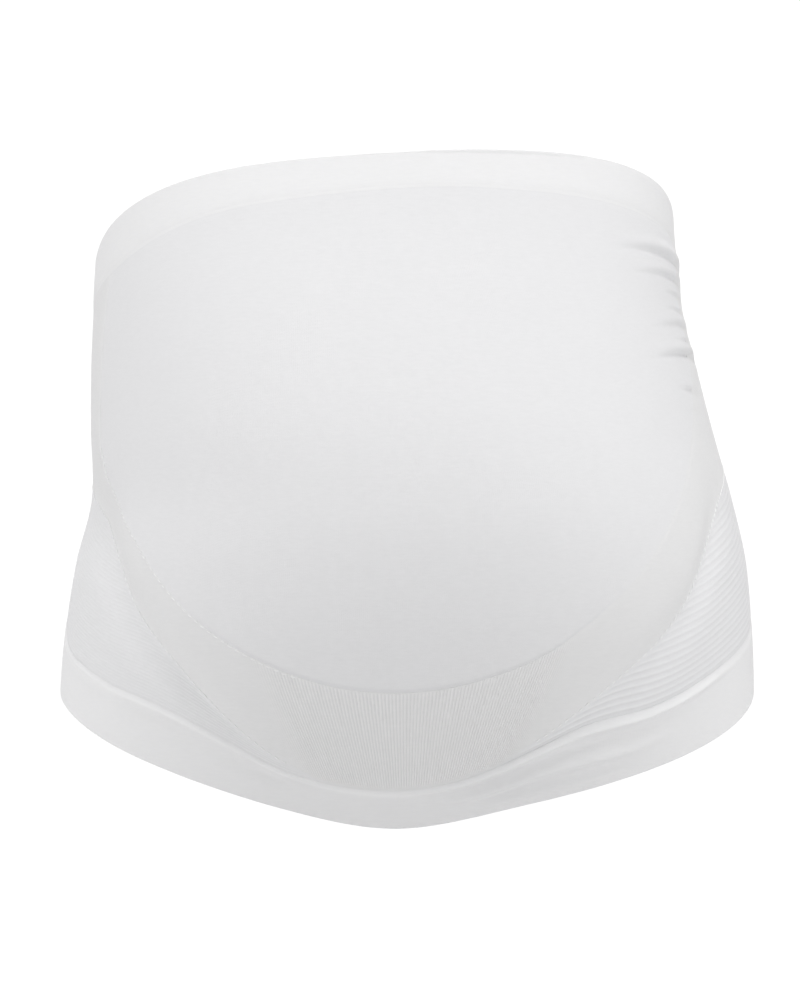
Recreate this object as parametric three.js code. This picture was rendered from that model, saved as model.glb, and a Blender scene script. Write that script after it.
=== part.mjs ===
// Maternity support belt: a seamless knitted band that keeps the form of the body wearing it.
// Millimetres, +Z up. The wearer faces -Y, so their left is +X. The origin is on the body's axis,
// level with the fullest part of the belly.

import * as THREE from 'three';

// Widths of the band across the body, and its depths from the body's axis
const hipWidth = 376;
const topWidth = 312;
const bellyDepth = 220;
const topFrontDepth = 140;
const lowFrontDepth = 116;
const waistBackDepth = 85;
const hipBackDepth = 122;
const topLean = 12; // the upper rim leans this far to the wearer's right
const roundness = 2.2; // exponent of each level section: 2 is an ellipse, more is squarer

// Heights of the two rims, above and below the origin
const topFrontHeight = 177.5;
const topSideHeight = 130;
const topBackHeight = 108;
const topShoulder = 8; // keeps the upper rim high as far as the side seams
const topTilt = 10.5; // the upper rim is higher on the wearer's left by this much
const lowFrontDrop = 171;
const lowSideDrop = 95;
const lowBackDrop = 85;

// Hems, walls and the clearance between neighbouring pieces
const topHemHeight = 25.5;
const bottomHemHeight = 39;
const jerseyWall = 1.2;
const ribbedWall = 1.6;
const hemWall = 2.4;
const clearance = 0.3;

// Depths of the cloth's relief
const gatherDepth = 3.2;
const gatherLip = { height: 0.7, rise: 1.7 }; // shares of a fold's depth and width, above its crease
const hemFoldHeight = 2.6;
const rimPuff = 1.5;
const puffSpread = 20; // degrees round the body to either side of the left seam's top
// The hollow between belly and hips: its middle is this far below the hip line. It grows and fades
// between these angles, and reaches farther round on the wearer's right.
const hipHollow = { depth: 6.5, below: 2, spread: 17, from: 22, full: 38 };
const hollowEnds = { right: { fading: 60, faded: 84 }, left: { fading: 42, faded: 68 } };

// Borders of the panels, as angles round the body in degrees: 0 is the front, 90 the wearer's left
const rightSeam = { bottom: -61.5, top: -60.5 };
const leftSeam = { bottom: 68, top: 73 };
const backBorder = 86;
const hipTip = 20;
const hemRibSpread = 0.97; // ribs standing on the bottom hem spread less than the hip tips

// Counts of the grid cells that each piece is divided into, round the body and upward
const bellyCells = { around: 36, up: 24 };
const hipCells = { around: 16, up: 6 };
const backCells = { around: 30, up: 8 };
const hornCells = { around: 5, up: 10 };
const frontHemCells = 10;
const topHemRows = 3;
const bottomHemRows = 10;

// Level sections of the body. level is 1 at the front of the upper rim, 0 at the origin and -1 at the
// front of the lower rim. width goes from topWidth, 0, to hipWidth, 1. lean is a share of topLean.
// belly goes from the depth of the nearer rim, 0, to bellyDepth, 1, and back from waistBackDepth, 0,
// to hipBackDepth, 1.
const bodySections = [
  { level: -1.0, width: 1.0, lean: 0.0, belly: 0.0, back: 1.0 },
  { level: -0.8, width: 1.0, lean: 0.0, belly: 0.35, back: 1.0 },
  { level: -0.6, width: 0.99, lean: 0.0, belly: 0.64, back: 1.0 },
  { level: -0.4, width: 0.935, lean: 0.08, belly: 0.85, back: 0.93 },
  { level: -0.2, width: 0.8, lean: 0.18, belly: 0.965, back: 0.78 },
  { level: 0.0, width: 0.55, lean: 0.2, belly: 1.0, back: 0.55 },
  { level: 0.2, width: 0.4, lean: -0.22, belly: 0.95, back: 0.33 },
  { level: 0.4, width: 0.26, lean: -0.6, belly: 0.8, back: 0.15 },
  { level: 0.6, width: 0.11, lean: -0.89, belly: 0.575, back: 0.05 },
  { level: 0.8, width: 0.03, lean: -0.98, belly: 0.275, back: 0.0 },
  { level: 1.0, width: 0.0, lean: -1.0, belly: 0.0, back: 0.0 },
];

// The curved lower seam of the belly panel. share is 0 at the bottom hem line and 1 at the top one.
const bellySeam = [
  { angle: rightSeam.bottom, share: 0.575 },
  { angle: -59, share: 0.49 },
  { angle: -55, share: 0.448 },
  { angle: -46, share: 0.361 },
  { angle: -36, share: 0.268 },
  { angle: -26, share: 0.218 },
  { angle: -14, share: 0.183 },
  { angle: -1, share: 0.17 },
  { angle: 12, share: 0.176 },
  { angle: 22, share: 0.196 },
  { angle: 32, share: 0.27 },
  { angle: 42, share: 0.395 },
  { angle: 52, share: 0.502 },
  { angle: 60, share: 0.595 },
  { angle: leftSeam.bottom, share: 0.71 },
];

// The dashed transfer line over each hip, the same on both sides
const hipLine = [
  { angle: hipTip, share: 0.012 },
  { angle: 26, share: 0.03 },
  { angle: 32, share: 0.062 },
  { angle: 38, share: 0.108 },
  { angle: 45, share: 0.183 },
  { angle: 52, share: 0.29 },
  { angle: 59, share: 0.353 },
  { angle: 67, share: 0.388 },
  { angle: 76, share: 0.413 },
  { angle: backBorder, share: 0.435 },
];

// Where the ribs of the support panel leave its lower border, and where they meet the belly seam
const ribRun = [
  { below: -backBorder, above: rightSeam.bottom },
  { below: -62, above: -54.5 },
  { below: -42, above: -45 },
  { below: -25, above: -31 },
  { below: -1, above: -1 },
  { below: 24, above: 31 },
  { below: 41, above: 45 },
  { below: 62, above: 57 },
  { below: backBorder, above: leftSeam.bottom },
];

// Gather folds, from their soft end on the belly to the side seam. depth and width are shares of
// gatherDepth.
const gatherFolds = [
  { fromAngle: 46, fromShare: 0.905, toAngle: 72, toShare: 0.94, depth: 1.0, width: 0.8 },
  { fromAngle: 51, fromShare: 0.858, toAngle: 72, toShare: 0.893, depth: 0.7, width: 0.7 },
  { fromAngle: 47, fromShare: 0.738, toAngle: 72, toShare: 0.775, depth: 0.6, width: 0.75 },
  { fromAngle: 42, fromShare: 0.675, toAngle: 70, toShare: 0.698, depth: 0.95, width: 0.8 },
  { fromAngle: 50, fromShare: 0.615, toAngle: 64, toShare: 0.605, depth: 0.45, width: 0.7 },
];

// Folds of the bottom hem. across is 0 at the rim and 1 at the hem line, and height is a share of
// hemFoldHeight.
const hemFolds = [
  { fromAngle: -88, fromAcross: 0.9, toAngle: -4, toAcross: 0.9, width: 0.1, height: 0.4 },
  { fromAngle: -54, fromAcross: 0.7, toAngle: -12, toAcross: 0.64, width: 0.17, height: -0.6 },
  { fromAngle: -4, fromAcross: 0.9, toAngle: 60, toAcross: 0.88, width: 0.1, height: 0.7 },
  { fromAngle: 6, fromAcross: 0.66, toAngle: 46, toAcross: 0.66, width: 0.13, height: -1.1 },
  { fromAngle: 9, fromAcross: 0.46, toAngle: 44, toAcross: 0.42, width: 0.12, height: 0.6 },
  { fromAngle: 12, fromAcross: 0.26, toAngle: 40, toAcross: 0.3, width: 0.1, height: -0.7 },
];

// Where a rim is drawn up or down, and where a hem is drawn wider or narrower, as shares of the hem's
// height
const topRimPulls = [
  { angle: 30, spread: 17, share: -0.06 },
  { angle: 78, spread: 24, share: 0.3 },
];
const topHemPulls = [
  { angle: -56, spread: 17, share: 0.24 },
  { angle: 5, spread: 22, share: -0.1 },
];
const lowRimPulls = [
  { angle: 22, spread: 22, share: 0.1 },
];
const bottomHemPulls = [
  { angle: -70, spread: 9, share: -0.12 },
  { angle: -40, spread: 11, share: 0.31 },
  { angle: -5, spread: 30, share: -0.18 },
  { angle: 28, spread: 11, share: 0.28 },
  { angle: 45, spread: 21, share: 0.17 },
];

const radians = THREE.MathUtils.degToRad;
const mix = THREE.MathUtils.lerp;

// Smooth curve through a table's rows, which are in rising order of the key column
function through(rows, key, column, at) {
  const last = rows.length - 1;
  const place = THREE.MathUtils.clamp(at, rows[0][key], rows[last][key]);
  let i = 0;
  while (i < last - 1 && place > rows[i + 1][key]) i += 1;
  const slope = (k) => {
    const before = rows[Math.max(k - 1, 0)];
    const after = rows[Math.min(k + 1, last)];
    return (after[column] - before[column]) / (after[key] - before[key]);
  };
  const step = rows[i + 1][key] - rows[i][key];
  const t = (place - rows[i][key]) / step;
  const bend = step * t * (1 - t) * ((1 - t) * slope(i) - t * slope(i + 1));
  return mix(rows[i][column], rows[i + 1][column], t * t * (3 - 2 * t)) + bend;
}

// Point of the band's middle surface at an angle in degrees and a height
function bodyPoint(angle, height) {
  const level = height > 0 ? height / topFrontHeight : height / lowFrontDrop;
  const share = (column) => through(bodySections, 'level', column, level);
  const halfWidth = mix(topWidth, hipWidth, share('width')) / 2;
  const rimDepth = height > 0 ? topFrontDepth : lowFrontDepth;
  const sine = Math.sin(radians(angle));
  const cosine = Math.cos(radians(angle));
  const depth = cosine > 0
    ? mix(rimDepth, bellyDepth, share('belly'))
    : mix(waistBackDepth, hipBackDepth, share('back'));
  const radius = (Math.abs(sine / halfWidth) ** roundness + Math.abs(cosine / depth) ** roundness)
    ** (-1 / roundness);
  return new THREE.Vector3(topLean * share('lean') + radius * sine, -radius * cosine, height);
}

// Directions of the surface at a point: per degree round the body, per millimetre up, and outward
function bodyDirections(angle, height) {
  const around = bodyPoint(angle + 0.5, height).sub(bodyPoint(angle - 0.5, height));
  const up = bodyPoint(angle, height + 0.5).sub(bodyPoint(angle, height - 0.5));
  const outward = around.clone().cross(up).normalize();
  return { around, up, outward };
}

// Height of a rim whose front, side and back heights are given
function rimHeight(angle, front, side, back, shoulder, tilt) {
  const ends = (front + back + shoulder) / 2;
  const turn = radians(angle);
  const frontward = (1 + Math.cos(turn)) / 2;
  return (ends + side) / 2 + (ends - back) * Math.cos(turn) + (ends - side) / 2 * Math.cos(2 * turn)
    - shoulder * frontward * Math.cos(3 * turn) + tilt * Math.sin(turn);
}

const bump = (distance, width) => Math.exp(-((distance / width) ** 2));

const pull = (pulls, angle) => pulls.reduce(
  (sum, row) => sum + row.share * bump(angle - row.angle, row.spread), 0);

// The two rims, at angles from -90 to 270
const topRim = (angle) => topHemHeight * pull(topRimPulls, angle)
  + rimHeight(angle, topFrontHeight, topSideHeight, topBackHeight, topShoulder, topTilt);
const lowRim = (angle) => bottomHemHeight * pull(lowRimPulls, angle)
  + rimHeight(angle, -lowFrontDrop, -lowSideDrop, -lowBackDrop, 0, 0);

// Height that a length laid on the surface takes up, above or below a rim
function riseOver(angle, height, length) {
  return length / bodyDirections(angle, height + length / 3).up.length();
}

function topHemLine(angle) {
  const rim = topRim(angle);
  return rim + riseOver(angle, rim, -topHemHeight) * (1 + pull(topHemPulls, angle));
}

function bottomHemLine(angle) {
  const rim = lowRim(angle);
  return rim + riseOver(angle, rim, bottomHemHeight) * (1 + pull(bottomHemPulls, angle));
}

// Height of a share of the panels' space, from the bottom hem line, 0, to the top hem line, 1
const panelHeight = (angle, share) => mix(bottomHemLine(angle), topHemLine(angle), share);

// Height halfway across the clearance beside a border that runs along the angle
function besideBorder(angle, border, side) {
  const height = border(angle);
  const { around, up } = bodyDirections(angle, height);
  const climb = border(angle + 0.5) - border(angle - 0.5);
  const run = around.clone().addScaledVector(up, climb);
  const square = run.clone().cross(up).length() / run.length();
  return height + side * clearance / 2 / square;
}

// Angle halfway across the clearance beside a border that runs upward
const besideEdge = (angle, height, side) =>
  angle + side * clearance / 2 / bodyDirections(angle, height).around.length();

// Grows from 0 to 1 up to the end of the rise, and falls back to 0 between the two ends of the fall
const swell = (along, riseEnd, fallStart, fallEnd) => THREE.MathUtils.smoothstep(along, 0, riseEnd)
  * (1 - THREE.MathUtils.smoothstep(along, fallStart, fallEnd));

const hipLineHeight = (angle) => panelHeight(
  angle, through(hipLine, 'angle', 'share', Math.abs(angle)));

// How far the cloth is drawn in between the belly and each hip at a place
function hollowRelief(angle, height) {
  const { depth, below, spread, from, full } = hipHollow;
  const { fading, faded } = angle < 0 ? hollowEnds.right : hollowEnds.left;
  const turned = Math.abs(angle);
  const reach = THREE.MathUtils.smoothstep(turned, from, full)
    * (1 - THREE.MathUtils.smoothstep(turned, fading, faded));
  return -depth * reach * bump(height - hipLineHeight(angle) + below, spread);
}

// How far the gathered and hollow cloth of the panels stands out at a place
function gatherRelief(angle, height) {
  const low = bottomHemLine(angle);
  const high = topHemLine(angle);
  const folds = gatherFolds.reduce((sum, fold) => {
    const along = (angle - fold.fromAngle) / (fold.toAngle - fold.fromAngle);
    const above = height - mix(low, high, mix(fold.fromShare, fold.toShare, along));
    const width = fold.width * gatherDepth;
    const lip = gatherLip.height * bump(above - gatherLip.rise * width, width);
    return sum + fold.depth * swell(along, 0.85, 1.0, 1.5) * (lip - bump(above, width));
  }, 0);
  const puff = bump(high - height - topHemHeight / 3, topHemHeight / 2)
    * bump(angle - leftSeam.top, puffSpread);
  return gatherDepth * folds + rimPuff * puff + hollowRelief(angle, height);
}

// How far the bottom hem stands out at a place
function hemRelief(angle, height) {
  const across = (height - lowRim(angle)) / (bottomHemLine(angle) - lowRim(angle));
  const folds = hemFolds.reduce((sum, fold) => {
    const along = (angle - fold.fromAngle) / (fold.toAngle - fold.fromAngle);
    const line = mix(fold.fromAcross, fold.toAcross, along);
    return sum + fold.height * swell(along, 0.3, 0.7, 1.0) * bump(across - line, fold.width);
  }, 0);
  return hemFoldHeight * folds + hollowRelief(angle, height);
}

// Closed body of cloth over a grid of angles and heights. Each column runs upward, and the columns
// follow the angle. A closed ring's last column joins its first.
function cloth(name, columns, wall, relief, isRing, finish) {
  const rows = columns[0].length;
  const sides = [0.5, -0.5].map((share) => columns.map((column) => column.map(({ angle, height }) => {
    const { outward } = bodyDirections(angle, height);
    return bodyPoint(angle, height).addScaledVector(outward, relief(angle, height) + share * wall);
  })));
  const positions = sides.flat(2).flatMap((point) => point.toArray());
  const outer = (i, j) => (i % columns.length) * rows + j;
  const inner = (i, j) => columns.length * rows + outer(i, j);
  const triangles = [];
  const quad = (a, b, c, d) => triangles.push(a, b, c, a, c, d);
  const spans = isRing ? columns.length : columns.length - 1;
  for (let i = 0; i < spans; i += 1) {
    for (let j = 0; j < rows - 1; j += 1) {
      quad(outer(i, j), outer(i + 1, j), outer(i + 1, j + 1), outer(i, j + 1));
      quad(inner(i, j), inner(i, j + 1), inner(i + 1, j + 1), inner(i + 1, j));
    }
    quad(inner(i, 0), inner(i + 1, 0), outer(i + 1, 0), outer(i, 0));
    quad(outer(i, rows - 1), outer(i + 1, rows - 1), inner(i + 1, rows - 1), inner(i, rows - 1));
  }
  for (let j = 0; j < rows - 1 && !isRing; j += 1) {
    quad(outer(0, j), outer(0, j + 1), inner(0, j + 1), inner(0, j));
    quad(inner(spans, j), inner(spans, j + 1), outer(spans, j + 1), outer(spans, j));
  }
  const geometry = new THREE.BufferGeometry();
  geometry.setAttribute('position', new THREE.Float32BufferAttribute(positions, 3));
  geometry.setIndex(triangles);
  geometry.computeVertexNormals();
  const mesh = new THREE.Mesh(geometry, finish);
  mesh.name = name;
  return mesh;
}

// One column of a panel's grid, straight between two places on the unrolled surface
const column = (low, high, rows) => Array.from({ length: rows + 1 }, (_, j) => ({
  angle: mix(low.angle, high.angle, j / rows),
  height: mix(low.height, high.height, j / rows),
}));

// Evenly spaced values from one end to the other, both included
const spaced = (from, to, count) => Array.from(
  { length: count + 1 }, (_, i) => mix(from, to, i / count));

// The same, but closer together towards both ends
const crowded = (from, to, count) => spaced(-1, 1, count).map(
  (place) => mix(from, to, (place + Math.sin(place * Math.PI / 2)) / 4 + 0.5));

// A piece's angles, with both ends drawn in by half the clearance
const inset = (angles, border) => angles.map((angle, i) => {
  if (i === 0) return besideEdge(angle, border(angle), 1);
  return i < angles.length - 1 ? angle : besideEdge(angle, border(angle), -1);
});

const bellySeamHeight = (angle) => panelHeight(angle, through(bellySeam, 'angle', 'share', angle));
const underTopHem = (angle) => besideBorder(angle, topHemLine, -1);
const overBottomHem = (angle) => besideBorder(angle, bottomHemLine, 1);

// Angles at which the columns of neighbouring pieces meet
const rightHornTop = spaced(-backBorder, rightSeam.top, hornCells.around);
const bellyTop = crowded(rightSeam.top, leftSeam.top, bellyCells.around);
const bellyLow = crowded(rightSeam.bottom, leftSeam.bottom, bellyCells.around);
const leftHornTop = spaced(leftSeam.top, backBorder, hornCells.around);
const rightHip = spaced(-backBorder, -hipTip, hipCells.around);
const frontHem = spaced(-hipTip, hipTip, frontHemCells);
const leftHip = spaced(hipTip, backBorder, hipCells.around);
const back = spaced(backBorder, 360 - backBorder, backCells.around);

function topHem(finish) {
  const angles = [rightHornTop, bellyTop, leftHornTop, back].flatMap((list) => list.slice(1));
  const columns = angles.map((angle) => column(
    { angle, height: besideBorder(angle, topHemLine, 1) },
    { angle, height: topRim(angle) },
    topHemRows,
  ));
  return cloth('top_hem', columns, hemWall, () => 0, true, finish);
}

function bottomHem(finish) {
  const angles = [rightHip, frontHem, leftHip, back].flatMap((list) => list.slice(1));
  const columns = angles.map((angle) => column(
    { angle, height: lowRim(angle) },
    { angle, height: besideBorder(angle, bottomHemLine, -1) },
    bottomHemRows,
  ));
  return cloth('bottom_hem', columns, hemWall, hemRelief, true, finish);
}

function bellyPanel(finish) {
  const above = inset(bellyTop, topHemLine);
  const columns = inset(bellyLow, bellySeamHeight).map((angle, i) => column(
    { angle, height: besideBorder(angle, bellySeamHeight, 1) },
    { angle: above[i], height: underTopHem(above[i]) },
    bellyCells.up,
  ));
  return cloth('belly_panel', columns, jerseyWall, gatherRelief, false, finish);
}

// One horn of the support panel, between the back border and a side seam, from its foot upward
function horn(side, seam) {
  const corner = besideEdge(side * backBorder, hipLineHeight(backBorder), -side);
  const seamLow = besideEdge(seam.bottom, bellySeamHeight(seam.bottom), side);
  const seamHigh = besideEdge(seam.top, topHemLine(seam.top), side);
  const footBack = besideBorder(corner, hipLineHeight, 1);
  const footFront = besideBorder(seamLow, bellySeamHeight, -1);
  const place = (share, across) => {
    const angle = mix(corner, mix(seamLow, seamHigh, share), across);
    return { angle, height: mix(mix(footBack, footFront, across), underTopHem(angle), share) };
  };
  return spaced(0, 1, hornCells.up).slice(1).map(
    (share) => spaced(0, 1, hornCells.around).map((across) => place(share, across)));
}

function supportPanel(finish) {
  const rib = (low, from) => {
    const angle = through(ribRun, 'below', 'above', from);
    return column(low, { angle, height: besideBorder(angle, bellySeamHeight, -1) }, hornCells.around);
  };
  const onHip = (angle) => rib({ angle, height: besideBorder(angle, hipLineHeight, 1) }, angle);
  const onHem = (angle) => rib({ angle, height: overBottomHem(angle) }, angle * hemRibSpread);
  const middle = inset(frontHem, bottomHemLine);
  const hips = inset([...rightHip.slice(0, -1), ...leftHip.slice(1)], hipLineHeight);
  const columns = [
    ...horn(-1, rightSeam).reverse(),
    ...[...hips.slice(0, hipCells.around), middle.at(0)].map(onHip),
    ...middle.map(onHem),
    ...[middle.at(-1), ...hips.slice(hipCells.around)].map(onHip),
    ...horn(1, leftSeam),
  ];
  return cloth('support_panel', columns, ribbedWall, gatherRelief, false, finish);
}

function hipPanel(name, angles, finish) {
  const columns = inset(angles, bottomHemLine).map((angle) => column(
    { angle, height: overBottomHem(angle) },
    { angle, height: besideBorder(angle, hipLineHeight, -1) },
    hipCells.up,
  ));
  return cloth(name, columns, ribbedWall, gatherRelief, false, finish);
}

function backPanel(finish) {
  const columns = inset(back, hipLineHeight).map((angle) => column(
    { angle, height: overBottomHem(angle) },
    { angle, height: underTopHem(angle) },
    backCells.up,
  ));
  return cloth('back_panel', columns, jerseyWall, () => 0, false, finish);
}

const jersey = new THREE.MeshStandardMaterial({ color: 0xebebef, roughness: 0.92, metalness: 0 });
const ribbed = new THREE.MeshStandardMaterial({ color: 0xe4e4e7, roughness: 0.94, metalness: 0 });
const welt = new THREE.MeshStandardMaterial({ color: 0xeeeef1, roughness: 0.9, metalness: 0 });

const belt = new THREE.Group();
belt.add(
  topHem(welt),
  bellyPanel(jersey),
  supportPanel(ribbed),
  hipPanel('hip_panel_right', rightHip, ribbed),
  hipPanel('hip_panel_left', leftHip, ribbed),
  backPanel(jersey),
  bottomHem(welt),
);

export default belt;
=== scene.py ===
import math

import bpy
import numpy as np
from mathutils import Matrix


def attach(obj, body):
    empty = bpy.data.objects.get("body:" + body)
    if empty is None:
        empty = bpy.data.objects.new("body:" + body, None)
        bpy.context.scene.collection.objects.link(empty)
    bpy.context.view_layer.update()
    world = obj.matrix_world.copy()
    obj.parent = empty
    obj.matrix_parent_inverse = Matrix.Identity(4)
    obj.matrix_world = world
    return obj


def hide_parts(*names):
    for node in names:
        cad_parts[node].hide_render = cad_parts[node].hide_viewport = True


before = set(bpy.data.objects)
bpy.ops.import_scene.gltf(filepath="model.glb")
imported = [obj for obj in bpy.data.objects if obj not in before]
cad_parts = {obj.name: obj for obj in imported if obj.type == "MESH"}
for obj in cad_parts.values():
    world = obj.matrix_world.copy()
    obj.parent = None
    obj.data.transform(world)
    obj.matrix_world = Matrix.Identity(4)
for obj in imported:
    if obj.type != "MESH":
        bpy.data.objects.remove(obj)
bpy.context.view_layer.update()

# ---- Camera ----
# The belt is seen from straight in front and level with the belly, from two metres away and 4 mm to
# the wearer's right. The picture is 55 cm high where the wearer's axis stands.
camera_distance = 2.0
camera_shift = -0.00385
picture_height = 0.55
sensor_height = 36.0
camera_data = bpy.data.cameras.new("front_camera")
camera_data.sensor_fit = "VERTICAL"
camera_data.sensor_height = sensor_height
camera_data.lens = sensor_height * camera_distance / picture_height
camera = bpy.data.objects.new("front_camera", camera_data)
camera.location = (camera_shift, -camera_distance, 0.0)
camera.rotation_euler = (math.radians(90), 0, 0)
bpy.context.scene.collection.objects.link(camera)
bpy.context.scene.camera = camera

# ---- Top hem ----
# A double welt of fine polyamide knit, 25 mm high, turned over at the upper rim and knitted on to the
# panels below it. It stands a little proud of them, over a thin groove with a second line above it.
# Lengths are in millimetres until a mesh is made, and angles in degrees round the body's axis, with 0
# at the front and 90 at the wearer's left.
hip_width, top_width = 376.0, 312.0
belly_depth, top_front_depth, low_front_depth = 220.0, 140.0, 116.0
waist_back_depth, hip_back_depth = 85.0, 122.0
top_lean = 12.0
roundness = 2.2
top_front_height, top_side_height, top_back_height = 177.5, 130.0, 108.0
top_shoulder, top_tilt = 8.0, 10.5
low_front_drop, low_side_drop, low_back_drop = 171.0, 95.0, 85.0
top_hem_height = 25.5
hem_wall = 2.4
hem_line_depth = 0.05
second_line_rise = 2.1
thin_top_wall = 0.6

# angle, spread, share of the hem's height: where the rim and the hem's line are drawn up, or down
top_rim_pulls = (30, 17, -0.06), (78, 24, 0.3)
top_line_pulls = (-56, 17, 0.24), (5, 22, -0.1)

# level, width, lean, belly, back: the body's level sections, as shares of the sizes above
body_sections = (
    (-1.0, 1.0, 0.0, 0.0, 1.0),
    (-0.8, 1.0, 0.0, 0.35, 1.0),
    (-0.6, 0.99, 0.0, 0.64, 1.0),
    (-0.4, 0.935, 0.08, 0.85, 0.93),
    (-0.2, 0.8, 0.18, 0.965, 0.78),
    (0.0, 0.55, 0.2, 1.0, 0.55),
    (0.2, 0.4, -0.22, 0.95, 0.33),
    (0.4, 0.26, -0.6, 0.8, 0.15),
    (0.6, 0.11, -0.89, 0.575, 0.05),
    (0.8, 0.03, -0.98, 0.275, 0.0),
    (1.0, 0.0, -1.0, 0.0, 0.0),
)


def through(rows, column, at):
    """Smooth curve through a table's rows, which are in rising order of their first column."""
    place = np.array([row[0] for row in rows])
    value = np.array([row[column] for row in rows])
    slope = np.gradient(value, place, edge_order=1)
    slope[1:-1] = (value[2:] - value[:-2]) / (place[2:] - place[:-2])
    at = np.clip(at, place[0], place[-1])
    i = np.clip(np.searchsorted(place, at, side="right") - 1, 0, len(place) - 2)
    step = place[i + 1] - place[i]
    t = (at - place[i]) / step
    bend = step * t * (1 - t) * ((1 - t) * slope[i] - t * slope[i + 1])
    return value[i] + (value[i + 1] - value[i]) * t * t * (3 - 2 * t) + bend


def body_point(angle, height):
    """Middle of the cloth at an angle and a height."""
    level = np.where(height > 0, height / top_front_height, height / low_front_drop)
    width, lean, belly, back = (through(body_sections, column, level) for column in (1, 2, 3, 4))
    half_width = (top_width + (hip_width - top_width) * width) / 2
    rim_depth = np.where(height > 0, top_front_depth, low_front_depth)
    sine, cosine = np.sin(np.radians(angle)), np.cos(np.radians(angle))
    front_depth = rim_depth + (belly_depth - rim_depth) * belly
    back_depth = waist_back_depth + (hip_back_depth - waist_back_depth) * back
    depth = np.where(cosine > 0, front_depth, back_depth)
    squared = np.abs(sine / half_width) ** roundness + np.abs(cosine / depth) ** roundness
    radius = squared ** (-1 / roundness)
    return np.stack([top_lean * lean + radius * sine, -radius * cosine, height + 0 * angle], axis=-1)


def body_directions(angle, height):
    """Per degree round the body, per millimetre up, and outward."""
    around = body_point(angle + 0.5, height) - body_point(angle - 0.5, height)
    up = body_point(angle, height + 0.5) - body_point(angle, height - 0.5)
    outward = np.cross(around, up)
    return around, up, outward / np.linalg.norm(outward, axis=-1, keepdims=True)


def bump(distance, width):
    """1 on a line, and fading to 0 on both sides of it."""
    return np.exp(-((distance / width) ** 2))


def smooth(value, start, end):
    """0 up to start, 1 from end on, and a soft step between them."""
    t = np.clip((value - start) / (end - start), 0, 1)
    return t * t * (3 - 2 * t)


def drawn(pulls, angle):
    """Sum of the places where a rim or hem is drawn up or down, as rows of angle, spread and share."""
    return sum(share * bump(angle - place, spread) for place, spread, share in pulls)


def rim_height(angle, front, side, back, shoulder, tilt):
    """A rim's smooth run round the body through its heights at the front, the sides and the back."""
    ends = (front + back + shoulder) / 2
    turn = np.radians(angle)
    frontward = (1 + np.cos(turn)) / 2
    return ((ends + side) / 2 + (ends - back) * np.cos(turn) + (ends - side) / 2 * np.cos(2 * turn)
            - shoulder * frontward * np.cos(3 * turn) + tilt * np.sin(turn))


def rise_over(angle, height, length):
    """Height that a length laid on the cloth takes up, above or below a rim."""
    return length / np.linalg.norm(body_directions(angle, height + length / 3)[1], axis=-1)


def top_rim(angle):
    pulled = top_hem_height * drawn(top_rim_pulls, angle)
    return pulled + rim_height(angle, top_front_height, top_side_height, top_back_height,
                               top_shoulder, top_tilt)


def top_hem_line(angle):
    rim = top_rim(angle)
    wider = 1 + drawn(top_line_pulls, angle)
    return rim + rise_over(angle, rim, -top_hem_height) * wider


# Lengths round the body and up the cloth, kept on a grid, so that every stitch knows its wale and row
grid_step = 2.0
grid_angles = np.arange(-92.0, 273.0, grid_step)
grid_heights = np.arange(-200.0, 201.0, grid_step)
grid_steps = np.diff(body_point(grid_angles[:, None], grid_heights[None, :]), axis=1)
grid_rows = np.cumsum(np.linalg.norm(grid_steps, axis=-1), axis=1)
grid_rows = np.concatenate([np.zeros((len(grid_angles), 1)), grid_rows], axis=1)
girth_steps = np.diff(body_point(grid_angles, np.zeros(len(grid_angles))), axis=0)
grid_wales = np.concatenate([[0], np.cumsum(np.linalg.norm(girth_steps, axis=-1))])


def stitch_place(angle, height):
    """Millimetres round the body and up the cloth, which the knitted stitches follow."""
    a = np.clip((angle - grid_angles[0]) / grid_step, 0, len(grid_angles) - 1.001)
    h = np.clip((height - grid_heights[0]) / grid_step, 0, len(grid_heights) - 1.001)
    i, j = a.astype(int), h.astype(int)
    a, h = a - i, h - j
    low = grid_rows[i, j] * (1 - h) + grid_rows[i, j + 1] * h
    high = grid_rows[i + 1, j] * (1 - h) + grid_rows[i + 1, j + 1] * h
    return np.interp(angle, grid_angles, grid_wales), low * (1 - a) + high * a


def unevenness(angle, height):
    """Slow waves, a tenth of a millimetre high, that even a stretched knit has."""
    wales, rows = stitch_place(angle, height)
    wave_height, ripple_height = 0.06, 0.05
    waves = np.sin(wales / 9.3 + 1.3 * np.sin(rows / 31.0)) * np.sin(rows / 13.7 + 0.7)
    ripples = np.sin(wales / 5.1 - rows / 17.0 + 2.1) * np.sin(rows / 7.9 + wales / 23.0)
    return wave_height * waves + ripple_height * ripples


def fine_at_ends(edge, edge_count, count):
    """Shares from 0 to 1 with close steps near both ends, where a piece has its seams."""
    return np.concatenate([np.linspace(0, edge, edge_count)[:-1], np.linspace(edge, 1 - edge, count),
                           np.linspace(1 - edge, 1, edge_count)[1:]])


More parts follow.
